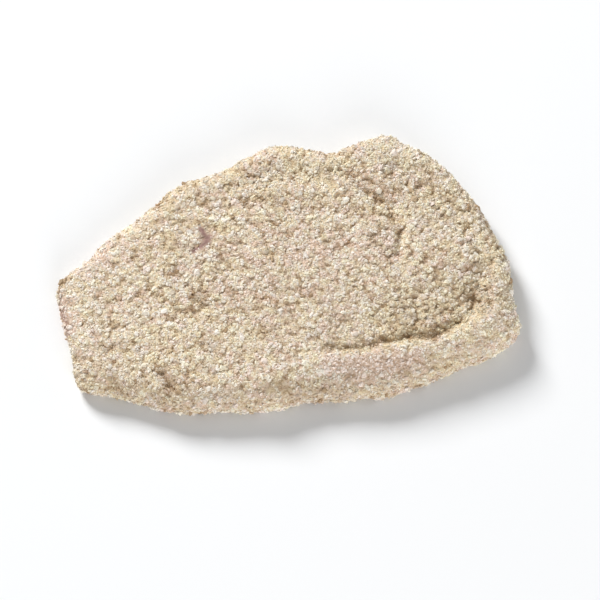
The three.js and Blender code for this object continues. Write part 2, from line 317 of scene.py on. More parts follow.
@dataclass(frozen=True)
class CutletForm:
    """The slice: crown, relief, rolled shoulder, waist and foot, and the coat's clumps.

    The shoulder is widest at the front right: it grows over front_start and narrows over front_end, both seen
    from the middle in lengths, and it grows towards the front down to front_depth, in half widths.
    """

    outline: Outline = Outline()
    crown: float = 12.5
    crown_start: float = -0.1
    tail: float = 9.0
    waist: float = 4.0
    shoulder: float = 9.0
    front_shoulder: float = 14.0
    front_depth: float = -0.6
    front_start: Pair = (-0.1, 0.1)
    front_end: Pair = (0.5, 0.38)
    foot: float = 4.5
    clump_size: float = 7.0
    clump_height: float = 0.45
    upper_end: float = 0.27 * math.pi
    relief: tuple[Patch, ...] = (
        Patch(
            "front crease", -2.2, 1.9,
            ((36.6, -31.4), (40, -31.2), (45, -28.8), (51.6, -30), (56.6, -27.1), (60.6, -24.7)),
        ),
        Patch("left end of the crease", -1.2, 2.0, ((16, -35.5), (27, -35.4), (34, -32.5))),
        Patch("right end of the crease", -1.2, 2.2, ((63, -22.5), (66, -20), (69, -15))),
        Patch("fall into the crease", -1.8, 9.0, ((32, -25), (50, -20), (64, -13))),
        Patch("lump above the crease", 0.8, 3.0, ((50, -16), (53, -15))),
        Patch("hollow beside the lump", -0.9, 1.6, ((47, -13.5), (46.5, -18), (48, -22))),
        Patch("front rim", 1.6, 3.6, ((12, -41), (38, -38), (54, -35.2), (68, -28.5), (76, -20))),
        Patch("right valley", -2.3, 4.0, RIGHT_VALLEY),
        Patch("right rim", 1.0, 5.0, ((78, -8), (78, 6), (71, 20), (60, 35), (45, 48))),
        Patch(
            "fold beside the shoulder", -2.5, 2.2,
            ((17, 47), (24, 39), (26, 35), (29, 31), (34, 26.3), (38, 22.5), (41.2, 15), (39.8, 4)),
        ),
        Patch("front crevice", -2.4, 1.6, ((-44, -44), (-40, -50))),
        Patch("middle swell", 0.9, 20.0, ((-30, 5), (25, 8))),
        Patch("bare spot", -0.8, 2.2, ((-35, 5), (-32, 7), (-29, 9), (-27, 15))),
        Patch("pit by the tail", -1.0, 2.2, ((-31, -15), (-28, -17))),
        Patch("back hollow", -0.9, 5.0, ((-15, 35), (2, 38), (16, 36))),
        Patch("ridge before the hollow", 0.5, 3.0, ((-18, 29), (0, 30), (16, 30), (25, 25))),
    )

    def crown_height(self, x: np.ndarray, y: np.ndarray) -> np.ndarray:
        """Height before the edge rolls down: a smooth step from tail to crown, plus every form of the relief.

        Args:
            x: Plan points across.
            y: Plan points along.

        Returns:
            The height over each plan point.
        """
        half = self.outline.length / 2
        height = lerp(self.tail, self.crown, ramp(-half, self.crown_start * half, x))
        return height + sum(form.at(x, y) for form in self.relief)

    def shoulder_at(self, outer: np.ndarray) -> np.ndarray:
        """Width of the roll: wider along the front right, by the product of three smooth steps.

        Args:
            outer: Outline points.

        Returns:
            The width at each of them.
        """
        across, along = outer[..., 0] / self.outline.length, outer[..., 1] / (self.outline.width / 2)
        front = ramp(0.0, self.front_depth, along)
        right = ramp(*self.front_start, across) * ramp(*self.front_end, across)
        return lerp(self.shoulder, self.front_shoulder, front * right)

    def outer(self, x: np.ndarray, y: np.ndarray) -> tuple[np.ndarray, np.ndarray]:
        """Outline point on the ray through each plan point, and how far in from it the plan point is.

        Args:
            x: Plan points across.
            y: Plan points along.

        Returns:
            The outline points, and the distances in from them.
        """
        bearing = np.arctan2(y / self.outline.width, x / self.outline.length)
        outer = self.outline.points(bearing)
        return outer, np.linalg.norm(outer, axis=-1) - np.hypot(x, y)

    def upper_height(self, x: np.ndarray, y: np.ndarray) -> np.ndarray:
        """Height of the upper side: from waist to crown by the quarter ellipse of the shoulder.

        Args:
            x: Plan points across.
            y: Plan points along.

        Returns:
            The height over each plan point.
        """
        outer, distance = self.outer(x, y)
        outward = np.clip(1.0 - distance / self.shoulder_at(outer), 0.0, 1.0)
        return lerp(self.waist, self.crown_height(x, y), np.sqrt(1.0 - outward**2))

    def edge(self, bearing: np.ndarray, angle: np.ndarray) -> np.ndarray:
        """Points of the edge: quarter ellipses that meet at the waist, the upper one up to the crown.

        Args:
            bearing: Bearings in radians.
            angle: A quarter turn is at the waist, a half turn at the foot.

        Returns:
            Surface points, with a last axis of three.
        """
        outer = self.outline.points(bearing)
        upper = angle < math.pi / 2
        width = np.where(upper, self.shoulder_at(outer), self.foot)
        inset = width * (1.0 - np.sin(angle))
        plan = outer * (1.0 - inset / np.linalg.norm(outer, axis=-1))[..., None]
        crown = self.crown_height(plan[..., 0], plan[..., 1])
        above = lerp(self.waist, crown, np.abs(np.cos(angle)))
        height = np.where(upper, above, self.waist * (1.0 + np.cos(angle)))
        return np.concatenate([plan, height[..., None]], axis=-1)

    def upper(self, plan: np.ndarray) -> np.ndarray:
        """Points of the upper side over plan points, with a last axis of three."""
        return np.concatenate([plan, self.upper_height(plan[..., 0], plan[..., 1])[..., None]], axis=-1)

    def border(self, bearing: np.ndarray) -> np.ndarray:
        """Plan points where the upper side gives way to the edge, at bearings."""
        return self.edge(bearing, np.full(bearing.shape, self.upper_end))[..., :2]

    def clump(self, points: np.ndarray) -> np.ndarray:
        """Height of the coat's clumps over surface points, by smooth noise."""
        return self.clump_height * noise(*pattern_places(points, self.clump_size))


def strongest(patches: Sequence[Patch], points: np.ndarray) -> np.ndarray:
    """Strength of the strongest patch.

    Args:
        patches: The patches to compare.
        points: Surface points.

    Returns:
        The largest strength at each point, or 0 where no patch has any.
    """
    found = np.zeros(points.shape[:-1])
    for patch in patches:
        found = np.maximum(found, patch.at(points[..., 0], points[..., 1]))
    return found


@dataclass(frozen=True)
class Crust:
    """Lumps of crumbs that stick together, each with a height and a tone of its own, and small pits between."""

    size: float = 2.6
    height: float = 0.32
    sink: float = 0.1
    least_lump: float = 0.5
    middle_level: float = 0.65
    turn: Pair = (0.8, 0.6)
    use: int = 300
    pit_size: float = 1.3
    pit_turn: Pair = (0.6, -0.8)
    pit_use: int = 400
    pit_level: Pair = (0.3, 0.65)
    pit_depth: float = 0.7
    pit_lean: float = 0.4
    pit_share: float = 0.4
    rough: tuple[Patch, ...] = (
        Patch("above the crease", 0.8, 9.0, ((42, -25), (62, -18))),
        Patch("right valley", 0.6, 8.0, RIGHT_VALLEY),
        Patch("fold beside the shoulder", 0.7, 4.0, ((17, 47), (24, 39), (29, 31), (34, 26), (40, 18))),
        Patch("back band", 0.4, 6.0, BACK_BAND),
        Patch("middle left", 0.4, 9.0, ((-45, -12), (-28, -12))),
        Patch("front left", 0.4, 6.0, ((-60, -34), (-42, -46))),
        Patch("middle right", 0.3, 9.0, ((36, 8), (50, 0))),
    )

    def lumps(self, points: np.ndarray) -> tuple[np.ndarray, np.ndarray]:
        """Level of the lumps at surface points, from 0 in the gaps to 1.5, and a number from 0 to 1 for each."""
        level, number = bumps(*pattern_places(points, self.size, self.turn), self.use)
        return level * (self.least_lump + number), number

    def depth(self, points: np.ndarray) -> np.ndarray:
        """Level over the middle one at surface points, spread wider where the coat is rough."""
        return (self.lumps(points)[0] - self.middle_level) * (1.0 + strongest(self.rough, points))

    def pits(self, points: np.ndarray) -> np.ndarray:
        """How far surface points are in a pit, from 0 to 1: a smooth step of fine noise, less on the lumps.

        Args:
            points: Surface points.

        Returns:
            The step, times the pits' share of the even coat plus the roughness.
        """
        fine = noise(*pattern_places(points, self.pit_size, self.pit_turn), self.pit_use)
        share = np.minimum(self.pit_share + strongest(self.rough, points), 1.0)
        return share * ramp(*self.pit_level, fine - self.pit_lean * self.depth(points))

    def lift(self, points: np.ndarray) -> np.ndarray:
        """How far the coat is raised at surface points: height times depth, less the sink and the pits."""
        return self.height * self.depth(points) - self.sink - self.pit_depth * self.pits(points)


# ---- Places on the slice ----


@dataclass(frozen=True)
class Places:
    """Points on the slice, with the directions out of it."""

    points: np.ndarray
    normals: np.ndarray

    def kept(self, keep: np.ndarray) -> "Places":
        """The places where keep is true."""
        return Places(self.points[keep], self.normals[keep])


@dataclass(frozen=True)
class Scatter:
    """Spreads places over a zone on a lattice whose points are shifted at random.

    The shift is in pitches, row_share says how many rows of the pitch go down the edge, and foot_share how near to
    the foot the underside's places begin.
    """

    form: CutletForm
    crust: Crust
    pitch: float
    shift: float = 0.5
    slope_step: float = 0.2
    angle_step: float = 1e-3
    row_share: float = 0.8
    least_rows: int = 3
    edge_end: float = 0.96 * math.pi
    foot_share: float = 0.8

    def places(self, zone: Zone, rng: np.random.Generator) -> Places:
        """Places on one zone of the slice.

        Args:
            zone: The stretch to cover.
            rng: The source of the shifts.

        Returns:
            The places, raised by the coat's clumps and lumps.
        """
        found = {Zone.UPPER: self._upper, Zone.EDGE: self._edge, Zone.UNDER: self._under}[zone](rng)
        if zone is Zone.UNDER:
            return found
        lift = self.form.clump(found.points) + self.crust.lift(found.points)
        return Places(found.points + found.normals * lift[:, None], found.normals)

    def _lattice(self, rng: np.random.Generator) -> tuple[np.ndarray, np.ndarray]:
        """Plan lattice of triangles over the whole box of the slice, its points shifted at random.

        Args:
            rng: The source of the shifts.

        Returns:
            Places across and places along.
        """
        half_x, half_y = self.form.outline.length / 2, self.form.outline.width / 2
        row_step = self.pitch * math.sqrt(3.0) / 2
        columns = np.arange(-half_x, half_x, self.pitch)
        rows = np.arange(-half_y, half_y, row_step)
        x, y = np.meshgrid(columns, rows)
        x = x + (np.arange(len(rows)) % 2)[:, None] * self.pitch / 2
        moves = rng.uniform(-self.shift, self.shift, (2, x.size)) * self.pitch
        return x.ravel() + moves[0], y.ravel() + moves[1]

    def _upper(self, rng: np.random.Generator) -> Places:
        """Lattice places on the upper side; the normal is (-slope across, -slope along, 1).

        Args:
            rng: The source of the shifts.

        Returns:
            The places.
        """
        x, y = self._lattice(rng)
        outer, distance = self.form.outer(x, y)
        inside = distance > self.form.shoulder_at(outer) * (1.0 - math.sin(self.form.upper_end))
        x, y = x[inside], y[inside]
        z = self.form.upper_height(x, y)
        across = (self.form.upper_height(x + self.slope_step, y) - z) / self.slope_step
        along = (self.form.upper_height(x, y + self.slope_step) - z) / self.slope_step
        return Places(np.stack([x, y, z], axis=-1), unit(np.stack([-across, -along, np.ones_like(z)], axis=-1)))

    def _edge(self, rng: np.random.Generator) -> Places:
        """Rows round the edge; the normal is the cross product of the steps down and along the edge.

        Args:
            rng: The source of the shifts.

        Returns:
            The places.
        """
        form = self.form
        rim = form.outline.points(np.linspace(0.0, TURN, form.outline.steps))
        around = int(np.linalg.norm(np.diff(rim, axis=0), axis=1).sum() / self.pitch)
        girth = (math.pi - form.upper_end) * (form.crown + form.foot) / 2
        down = max(int(girth / self.pitch * self.row_share), self.least_rows)
        bearings = form.outline.even_bearings(around)
        row = np.repeat(np.arange(down), around)
        moves = rng.uniform(-self.shift, self.shift, (2, row.size))
        bearing = np.tile(bearings, down) + (moves[0] + 0.5 * (row % 2)) * TURN / around
        angle = lerp(form.upper_end, self.edge_end, np.clip((row + 0.5 + moves[1]) / down, 0.0, 1.0))
        points = form.edge(bearing, angle)
        along = form.edge(bearing + self.angle_step, angle) - points
        downward = form.edge(bearing, angle + self.angle_step) - points
        return Places(points, unit(np.cross(downward, along)))

    def _under(self, rng: np.random.Generator) -> Places:
        """Lattice places on the flat underside, which all face down.

        Args:
            rng: The source of the shifts.

        Returns:
            The places.
        """
        x, y = self._lattice(rng)
        _, distance = self.form.outer(x, y)
        inside = distance > self.form.foot * self.foot_share
        points = np.stack([x[inside], y[inside], np.zeros(inside.sum())], axis=-1)
        return Places(points, np.tile([0.0, 0.0, -1.0], (len(points), 1)))


# ---- Colours over the slice ----


@dataclass(frozen=True)
class Drift:
    """A number that wanders over the coat, by noise whose bumps are of one size."""

    size: float
    strength: float
    use: int

    def at(self, points: np.ndarray) -> np.ndarray:
        """The number at surface points, from minus to plus the strength."""
        return self.strength * noise(*pattern_places(points, self.size), self.use)


def wander(drifts: Sequence[Drift], points: np.ndarray) -> np.ndarray:
    """Sum of drifts at surface points."""
    return sum(drift.at(points) for drift in drifts)


@dataclass(frozen=True)
class Dress:
    """How bare, browned and yellow the coat is over the slice, with painted shade in its gaps, pits, creases,
    folds and along its edges, and painted light on its crests, lump tops and on slopes turned from the key lamp.
    """

    crust: Crust = Crust()
    spot_size: float = 1.4
    spot_use: int = 900
    spot_level: Pair = (0.6, 0.85)
    spot_strength: float = 0.6
    # The next four numbers paint shade: gaps between lumps and pits are browned, partly the paste's own brown and
    # partly painted shade, and pits are darkened as painted shade.
    gap_depth: Pair = (-0.1, -0.7)
    gap_shade_brown: float = 0.9
    pit_shade_brown: float = 0.9
    painted_pit_shade: float = 0.25
    lump_tone: float = 0.3
    # Painted light and shade: lump tops are made lighter and the gaps between them darker.
    painted_depth_light: float = 0.7
    even_hue: float = 0.5
    tones: tuple[Drift, ...] = (Drift(4.0, 0.08, 650), Drift(10.0, 0.06, 700))
    browns: tuple[Drift, ...] = (Drift(2.6, 0.16, 950), Drift(6.0, 0.08, 980), Drift(14.0, 0.09, 990))
    hues: tuple[Drift, ...] = (Drift(1.3, 0.6, 730), Drift(2.6, 0.35, 750), Drift(9.0, 0.15, 800))
    bare: tuple[Patch, ...] = (
        Patch("stroke of the bare spot", 1.0, 1.4, ((-33.2, 5.0), (-31.0, 6.3), (-29.4, 7.6))),
        Patch("middle of the bare spot", 1.0, 2.1, ((-28.6, 8.4), (-28.0, 10.4))),
        Patch("upper end of the bare spot", 1.0, 1.4, ((-28.8, 11.2), (-30.4, 13.8))),
        Patch("tail edge", 0.65, 1.4, ((-80.6, -11), (-79.8, -18), (-77.4, -26))),
        Patch("front rim side", 0.08, 3.5, ((18, -44.5), (34, -43), (46, -40))),
    )
    # Patches on the crease and the fall beside it, the folds, the right valley, the crevice, the pits and along
    # the front, back and side edges are painted shade; the others brown the coat in spots and bands.
    browned_and_shaded: tuple[Patch, ...] = (
        Patch("crease, left", 0.55, 1.3, ((36, -31.5), (40, -31.0))),
        Patch("crease, middle", 1.0, 1.7, ((42.5, -28.6), (46.5, -30.2))),
        Patch("crease, dark", 1.2, 1.8, ((50.2, -30.4), (53.6, -30.0))),
        Patch("crease, right", 0.9, 1.5, ((56.0, -28.4), (59.0, -26.4))),
        Patch("above the crease", 0.22, 6.0, ((44, -26), (52, -24), (60, -20))),
        Patch("right of the crease", 0.55, 5.0, ((66, -12), (71, -17))),
        Patch("fold, back", 0.6, 1.1, ((24.0, 39.4), (25.0, 36.4))),
        Patch("fold, middle", 0.75, 1.3, ((27.0, 32.0), (30.0, 29.6), (33.6, 26.6))),
        Patch("fold, front", 0.25, 1.2, ((41.0, 14.0), (40.8, 11.0))),
        Patch("beside the fold", 0.6, 1.2, ((32.0, 16.4), (34.2, 14.0))),
        Patch("right valley", 0.1, 9.0, RIGHT_VALLEY),
        Patch("right valley, back", 0.5, 1.8, ((35, 32), (38, 29), (47, 30), (52, 28))),
        Patch("right valley, front", 0.5, 1.8, ((66, -1), (72, 1), (74, -6))),
        Patch("front edge", 0.5, 2.2, ((-9, -51.6), (10, -51), (24, -49.5))),
        Patch("front rim side, left", 1.0, 1.3, ((22.0, -46.6), (23.6, -45.4))),
        Patch("front rim side, right", 0.9, 1.2, ((41.5, -44.0), (44.0, -43.4))),
        Patch("front crevice", 1.0, 2.4, ((-43, -46), (-39.5, -50.5))),
        Patch("pit by the tail", 0.8, 1.3, ((-32.2, -13.6), (-29.4, -16.4))),
        Patch("pit before it", 0.7, 1.0, ((-40.4, -16), (-38.6, -16.8))),
        Patch("pit behind it", 0.7, 1.0, ((-20.8, 0.4), (-20.6, -1.4))),
        Patch("tail spots", 0.5, 1.5, ((-66, -32), (-65, -35))),
        Patch("tail corner", 0.7, 1.8, ((-74.5, -35), (-73, -38.4))),
        Patch("front left spots", 0.6, 1.2, ((-59, -32), (-58.4, -34.8))),
        Patch("middle spots", 0.5, 1.2, ((-3.0, 26), (-3.4, 20))),
        Patch("front middle spots", 0.45, 1.2, ((-3.2, -16), (-3.6, -21))),
        Patch("back spots", 0.25, 1.6, ((9, 40), (16, 40))),
        Patch("back band", 0.14, 7.0, BACK_BAND),
        Patch("tip of the tail", 0.8, 2.4, TAIL_TIP),
        Patch("left end of the rim crest", 0.25, 3.5, ((14, -36), (36, -35))),
        Patch("back edge", 0.15, 4.0, ((40, 54), (24, 50), (0, 51), (-14, 47), (-26, 40), (-50, 27))),
        Patch("front left edge", 0.2, 4.0, ((-74, -42), (-60, -48), (-40, -54), (-16, -55))),
        Patch("front right edge", 0.15, 4.0, ((28, -50), (44, -46), (58, -41), (70, -35))),
    )
    yellow: tuple[Patch, ...] = (
        Patch("tail", 0.12, 12.0, ((-66, -26), (-55, -34))),
        Patch("back left", 0.06, 12.0, ((-50, 20), (-30, 32))),
        Patch("crease", 0.8, 3.0, ((38, -31), (50, -30), (62, -24))),
        Patch("above the crease", 0.5, 8.0, ((40, -26), (50, -21), (64, -18))),
        Patch("front rim", 0.25, 5.0, ((16, -36), (38, -36), (54, -34))),
        Patch("right rim", 0.3, 6.0, ((77, 2), (78, -16))),
        Patch("right back", 0.25, 8.0, ((56, 30), (66, 16))),
        Patch("hump", 0.45, 6.0, ((4, 40), (18, 40))),
        Patch("tip of the tail", 0.4, 2.4, TAIL_TIP),
    )
    pink: tuple[Patch, ...] = (
        Patch("front rim side", 0.95, 4.0, ((16, -43.5), (34, -42), (48, -38.5))),
        Patch("back", 0.1, 6.0, ((-12, 38), (0, 42))),
        Patch("middle", 0.15, 22.0, ((-12, -8), (18, 2))),
        Patch("tail top", 0.2, 8.0, ((-72, 0), (-60, 4))),
        Patch("tail slope", 0.25, 8.0, ((-74, 2), (-62, 14), (-54, 24))),
        Patch("tail edge", 0.6, 3.0, ((-81, -10), (-79, -24))),
    )
    # Painted light: crests and slopes turned from the key lamp are made paler than the lamps leave them; the tail
    # patch makes its crumbs paler.
    painted_light_and_pale: tuple[Patch, ...] = (
        Patch("front rim", 0.6, 3.2, ((40, -36), (54, -34.5), (68, -28), (74, -21))),
        Patch("front rim side", 0.7, 5.0, ((12, -43), (26, -42.5), (38, -41))),
        Patch("shoulder", 0.7, 7.0, ((33, 52), (45, 45))),
        Patch("hump", 0.45, 5.0, ((5, 39), (17, 39))),
        Patch("right valley", 0.28, 8.0, ((52, 28), (62, 12), (70, -6))),
        Patch("end of the fold", 0.15, 2.5, ((41, 10), (39.5, 3))),
        Patch("right rim", 0.35, 4.0, ((79, 6), (81, -4), (80, -18))),
        Patch("tail", 0.22, 14.0, ((-76, -2), (-74, -20))),
    )

    def bareness(self, points: np.ndarray) -> np.ndarray:
        """How bare the meat is at surface points, from 0 to 1."""
        return strongest(self.bare, points)

    def brownness_and_shade(self, points: np.ndarray) -> np.ndarray:
        """How brown the coat is, painted shade included: patches of brown and of painted shade, or spots of fine
        noise, plus painted shade in gaps and pits, and wide noise less the painted light.

        Args:
            points: Surface points.

        Returns:
            The brown and painted shade of each, from 0 for none.
        """
        fine = noise(*pattern_places(points, self.spot_size), self.spot_use)
        spots = ramp(*self.spot_level, fine) * self.spot_strength
        # Gaps between lumps and pits get brown that is partly the paste's own and partly painted shade.
        pits = self.pit_shade_brown * self.crust.pits(points)
        painted_gap_shade = ramp(*self.gap_depth, self.crust.depth(points)) * self.gap_shade_brown + pits
        wide = wander(self.browns, points) - strongest(self.painted_light_and_pale, points)
        return np.maximum(strongest(self.browned_and_shaded, points), spots) + np.clip(painted_gap_shade + wide, 0.0, 1.0)

    def tone(self, points: np.ndarray) -> np.ndarray:
        """How much paler than even the coat is: by each lump's number, painted light on lump tops and painted
        shade in their gaps and pits, wide noise, and patches of painted light.

        Args:
            points: Surface points.

        Returns:
            What is added to the tone of each.
        """
        _, number = self.crust.lumps(points)
        # Painted light on the lumps' tops and painted shade in the gaps between them.
        lumps = self.lump_tone * (2.0 * number - 1.0) + self.painted_depth_light * self.crust.depth(points)
        # Painted shade in the pits.
        lumps = lumps - self.painted_pit_shade * self.crust.pits(points)
        return lumps + wander(self.tones, points) + strongest(self.painted_light_and_pale, points)

    def hue(self, points: np.ndarray) -> np.ndarray:
        """How yellow the coat is, from 0 for pink to 1: the even hue, wide noise and the patches of either."""
        yellow, pink = strongest(self.yellow, points), strongest(self.pink, points)
        return self.even_hue + wander(self.hues, points) + yellow - pink


# ---- Shaders ----


Value = Union[float, int, Sequence[float], "Channel"]


class Channel:
    """One output of a shader node, so that shader maths is written as Python expressions."""

    def __init__(self, shader: "Shader", socket: bpy.types.NodeSocket) -> None:
        """Keeps the socket and the shader that it belongs to."""
        self.shader = shader
        self.socket = socket

    def _maths(self, operation: str, first: Value, second: Value) -> "Channel":
        """Adds one Math node."""
        return self.shader.node("ShaderNodeMath", {"operation": operation}, {0: first, 1: second})

    def __add__(self, other: Value) -> "Channel":
        """Sum."""
        return self._maths("ADD", self, other)

    __radd__ = __add__

    def __sub__(self, other: Value) -> "Channel":
        """Difference."""
        return self._maths("SUBTRACT", self, other)

    def __rsub__(self, other: Value) -> "Channel":
        """Difference from a number."""
        return self._maths("SUBTRACT", other, self)

    def __mul__(self, other: Value) -> "Channel":
        """Product."""
        return self._maths("MULTIPLY", self, other)

    __rmul__ = __mul__


class Shader:
    """A material whose nodes all come from one method."""

    def __init__(self, name: str) -> None:
        """Starts a material with a bare Principled shader.

        Args:
            name: The material's name.
        """
        self.material = bpy.data.materials.new(name)
        self.material.use_nodes = True
        self.nodes = self.material.node_tree.nodes
        self.links = self.material.node_tree.links
        self.principled = self.nodes["Principled BSDF"]

    def node(
        self,
        kind: str,
        settings: Mapping[str, object],
        inputs: Mapping[Union[str, int], Value],
        output: Union[str, int] = 0,
    ) -> Channel:
        """Adds a node, sets its settings, then its inputs.

        Args:
            kind: The node's type.
            settings: Its properties, and the stops of a ramp as (place, colour) pairs.
            inputs: Values or channels for its sockets, by name or number.
            output: The output that is wanted.

        Returns:
            That output.
        """
        node = self.nodes.new(kind)
        for name, value in settings.items():
            if name == "stops":
                self._set_stops(node.color_ramp, value)
            else:
                setattr(node, name, value)
        for name, value in inputs.items():
            self._set_input(node.inputs[name], value)
        return Channel(self, node.outputs[output])

    def _set_stops(self, color_ramp: bpy.types.ColorRamp, stops: Sequence[tuple[float, Colour]]) -> None:
        """Gives a ramp its stops.

        Args:
            color_ramp: The ramp of a node.
            stops: The place and colour of each stop.
        """
        while len(color_ramp.elements) < len(stops):
            color_ramp.elements.new(1.0)
        for element, (place, colour) in zip(color_ramp.elements, stops):
            element.position = place
            element.color = (*colour, 1.0)

    def _set_input(self, socket: bpy.types.NodeSocket, value: Value) -> None:
        """Links a channel to a socket, or sets the socket's value.

        Args:
            socket: An input of a node.
            value: The channel or the value.
        """
        if isinstance(value, Channel):
            self.links.new(value.socket, socket)
        elif socket.type == "RGBA":
            socket.default_value = (*value, 1.0)
        else:
            socket.default_value = value

    def place(self) -> Channel:
        """Object coordinates."""
        return self.node("ShaderNodeTexCoord", {}, {}, "Object")

    def attribute(self, name: str) -> Channel:
        """A number kept on the mesh."""
        return self.node("ShaderNodeAttribute", {"attribute_name": name}, {}, "Fac")

    def grain(self, size: float, detail: float = 0.5) -> Channel:
        """Noise from 0 to 1 whose bumps are a size in millimetres."""
        inputs = {"Vector": self.place(), "Scale": 1.0 / (size * MM), "Detail": detail}
        return self.node("ShaderNodeTexNoise", {}, inputs)

    def mottle(self, size: float, strength: float) -> Channel:
        """Noise about 0, whose bumps are a size in millimetres and whose full swing is a strength."""
        return (self.grain(size) - 0.5) * strength

    def ramp(self, value: Channel, stops: Sequence[tuple[float, Colour]]) -> Channel:
        """Colour of a value along a ramp of stops."""
        return self.node("ShaderNodeValToRGB", {"stops": stops}, {"Fac": value}, "Color")

    def mix(self, factor: Value, first: Value, second: Value, blend: str = "MIX") -> Channel:
        """Blend of two colours."""
        settings = {"data_type": "RGBA", "blend_type": blend}
        return self.node("ShaderNodeMix", settings, {0: factor, 6: first, 7: second}, 2)

    def bump(self, height: Channel, distance: float) -> Channel:
        """Normal turned by a height, whose full swing is a distance in millimetres."""
        return self.node("ShaderNodeBump", {}, {"Height": height, "Distance": distance * MM}, "Normal")

    def finish(self, inputs: Mapping[str, Value]) -> bpy.types.Material:
        """Sets the Principled shader's inputs.

        Args:
            inputs: Values or channels by the socket's name.

        Returns:
            The material.
        """
        for name, value in inputs.items():
            self._set_input(self.principled.inputs[name], value)
        return self.material


@dataclass(frozen=True)
class CrumbFinish:
    """Dry breadcrumb: cream to tan by the crumb's tone, tinted by its hue, and brown where it is toasted and where
    shade is painted.
    """

    name: str = "dry_crumb"
    deep: Colour = (0.40, 0.26, 0.15)
    tan: Colour = (0.73, 0.615, 0.47)
    beige: Colour = (0.87, 0.81, 0.695)
    cream: Colour = (0.89, 0.86, 0.78)
    tan_at: float = 0.3
    beige_at: float = 0.6
    # Brown of toasted crumbs, also used as painted shade in gaps, pits, creases and along the edges.
    toast_and_shade_colour: Colour = (0.40, 0.27, 0.155)
    salmon: Colour = (1.0, 0.90, 0.89)
    pinkish: Colour = (1.0, 0.975, 0.975)
    yellowish: Colour = (1.0, 0.965, 0.83)
    pinkish_at: float = 0.25
    mottle_size: float = 0.8
    mottle: float = 0.45
    hue_size: float = 2.5
    hue_mottle: float = 0.2
    pore_size: float = 0.8
    pore_depth: float = 0.3
    roughness: float = 0.92
    specular: float = 0.3

    def colour(self, shader: Shader, tone: Channel) -> Channel:
        """Colour of a tone, with the tint of the attribute hue and the brown of the attribute toast_and_shade,
        which holds toasted brown and painted shade.

        Args:
            shader: The material that is being made.
            tone: From 0 for deep to 1 for cream.

        Returns:
            The colour.
        """
        stops = ((0.0, self.deep), (self.tan_at, self.tan), (self.beige_at, self.beige), (1.0, self.cream))
        hue = shader.attribute("hue") + shader.mottle(self.hue_size, self.hue_mottle)
        tint = shader.ramp(hue, ((0.0, self.salmon), (self.pinkish_at, self.pinkish), (1.0, self.yellowish)))
        tinted = shader.mix(1.0, shader.ramp(tone, stops), tint, "MULTIPLY")
        # Blends in brown by the attribute: toasted crumbs, and painted shade in hollows and along the edges.
        return shader.mix(shader.attribute("toast_and_shade"), tinted, self.toast_and_shade_colour)

    def build(self) -> bpy.types.Material:
        """Makes the material.

        Returns:
            The material. It reads the attributes tone, hue and toast_and_shade; tone holds painted light and
            shade, and toast_and_shade holds toasted brown and painted shade.
        """
        shader = Shader(self.name)
        tone = shader.attribute("tone") + shader.mottle(self.mottle_size, self.mottle)
        return shader.finish({
            "Base Color": self.colour(shader, tone),
            "Roughness": self.roughness,
            "Specular IOR Level": self.specular,
            "Normal": shader.bump(shader.grain(self.pore_size), self.pore_depth),
        })


@dataclass(frozen=True)
class MeatFinish:
    """Crumb paste over raw meat: tan and granular, and a dull pink where the slice is bare."""

    name: str = "meat_under_crumbs"
    crumbs: CrumbFinish = CrumbFinish()
    meat_dark: Colour = (0.20, 0.11, 0.09)
    meat_light: Colour = (0.34, 0.20, 0.175)
    meat_dark_at: float = 0.3
    meat_light_at: float = 0.7
    grain_size: float = 0.9
    grain_detail: float = 1.0
    fibre_size: float = 3.0
    contrast: float = 0.8
    paleness: float = 0.28
    relief: float = 0.5
    roughness: float = 0.8

    def build(self) -> bpy.types.Material:
        """Makes the material.

        Returns:
            The material, which reads the attributes bare, hue and toast_and_shade, whose brown includes painted
            shade.
        """
        shader = Shader(self.name)
        grain = shader.grain(self.grain_size, self.grain_detail)
        paste = self.crumbs.colour(shader, (grain - 0.5) * self.contrast + self.paleness)
        stops = ((self.meat_dark_at, self.meat_dark), (self.meat_light_at, self.meat_light))
        meat = shader.ramp(shader.grain(self.fibre_size), stops)
        return shader.finish({
            "Base Color": shader.mix(shader.attribute("bare"), paste, meat),
            "Roughness": self.roughness,
            "Normal": shader.bump(grain, self.relief),
        })


# ---- Meshes ----


@dataclass
class Piece:
    """A triangle mesh in millimetres, on its way to being an object."""

    name: str
    points: np.ndarray
    faces: np.ndarray
    numbers: Mapping[str, np.ndarray]
    smooth: bool = True
    uv: Union[np.ndarray, None] = None

    def make(self, material: bpy.types.Material, slot: Slot) -> bpy.types.Object:
        """Makes the object at the origin, with its points seen from the middle, and lets it ride on the part.

        Args:
            material: The finish.
            slot: The record's slot that the finish belongs to; not used.

        Returns:
            The object.
        """
        mesh = bpy.data.meshes.new(self.name)
        count = len(self.faces)
        mesh.vertices.add(len(self.points))
        centred = self.points - np.array([*MIDDLE, 0.0])
        mesh.vertices.foreach_set("co", (centred * MM).astype(np.float32).ravel())
        mesh.loops.add(3 * count)
        mesh.loops.foreach_set("vertex_index", self.faces.astype(np.int32).ravel())
        mesh.polygons.add(count)
        mesh.polygons.foreach_set("loop_start", np.arange(0, 3 * count, 3, dtype=np.int32))
        mesh.update(calc_edges=True)
        for name, values in self.numbers.items():
            layer = mesh.attributes.new(name, "FLOAT", "POINT")
            layer.data.foreach_set("value", values.astype(np.float32))
        if self.uv is not None:
            layer = mesh.uv_layers.new(name="OFBake")
            layer.data.foreach_set("uv", self.uv.astype(np.float32).ravel())
        if self.smooth:
            mesh.shade_smooth()
        else:
            mesh.shade_flat()
        mesh.materials.append(material)
        piece = bpy.data.objects.new(self.name, mesh)
        bpy.context.collection.objects.link(piece)
        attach(piece, BODY)
        LOG.info("%s: %d faces", self.name, count)
        return piece


# ---- The slice of meat ----


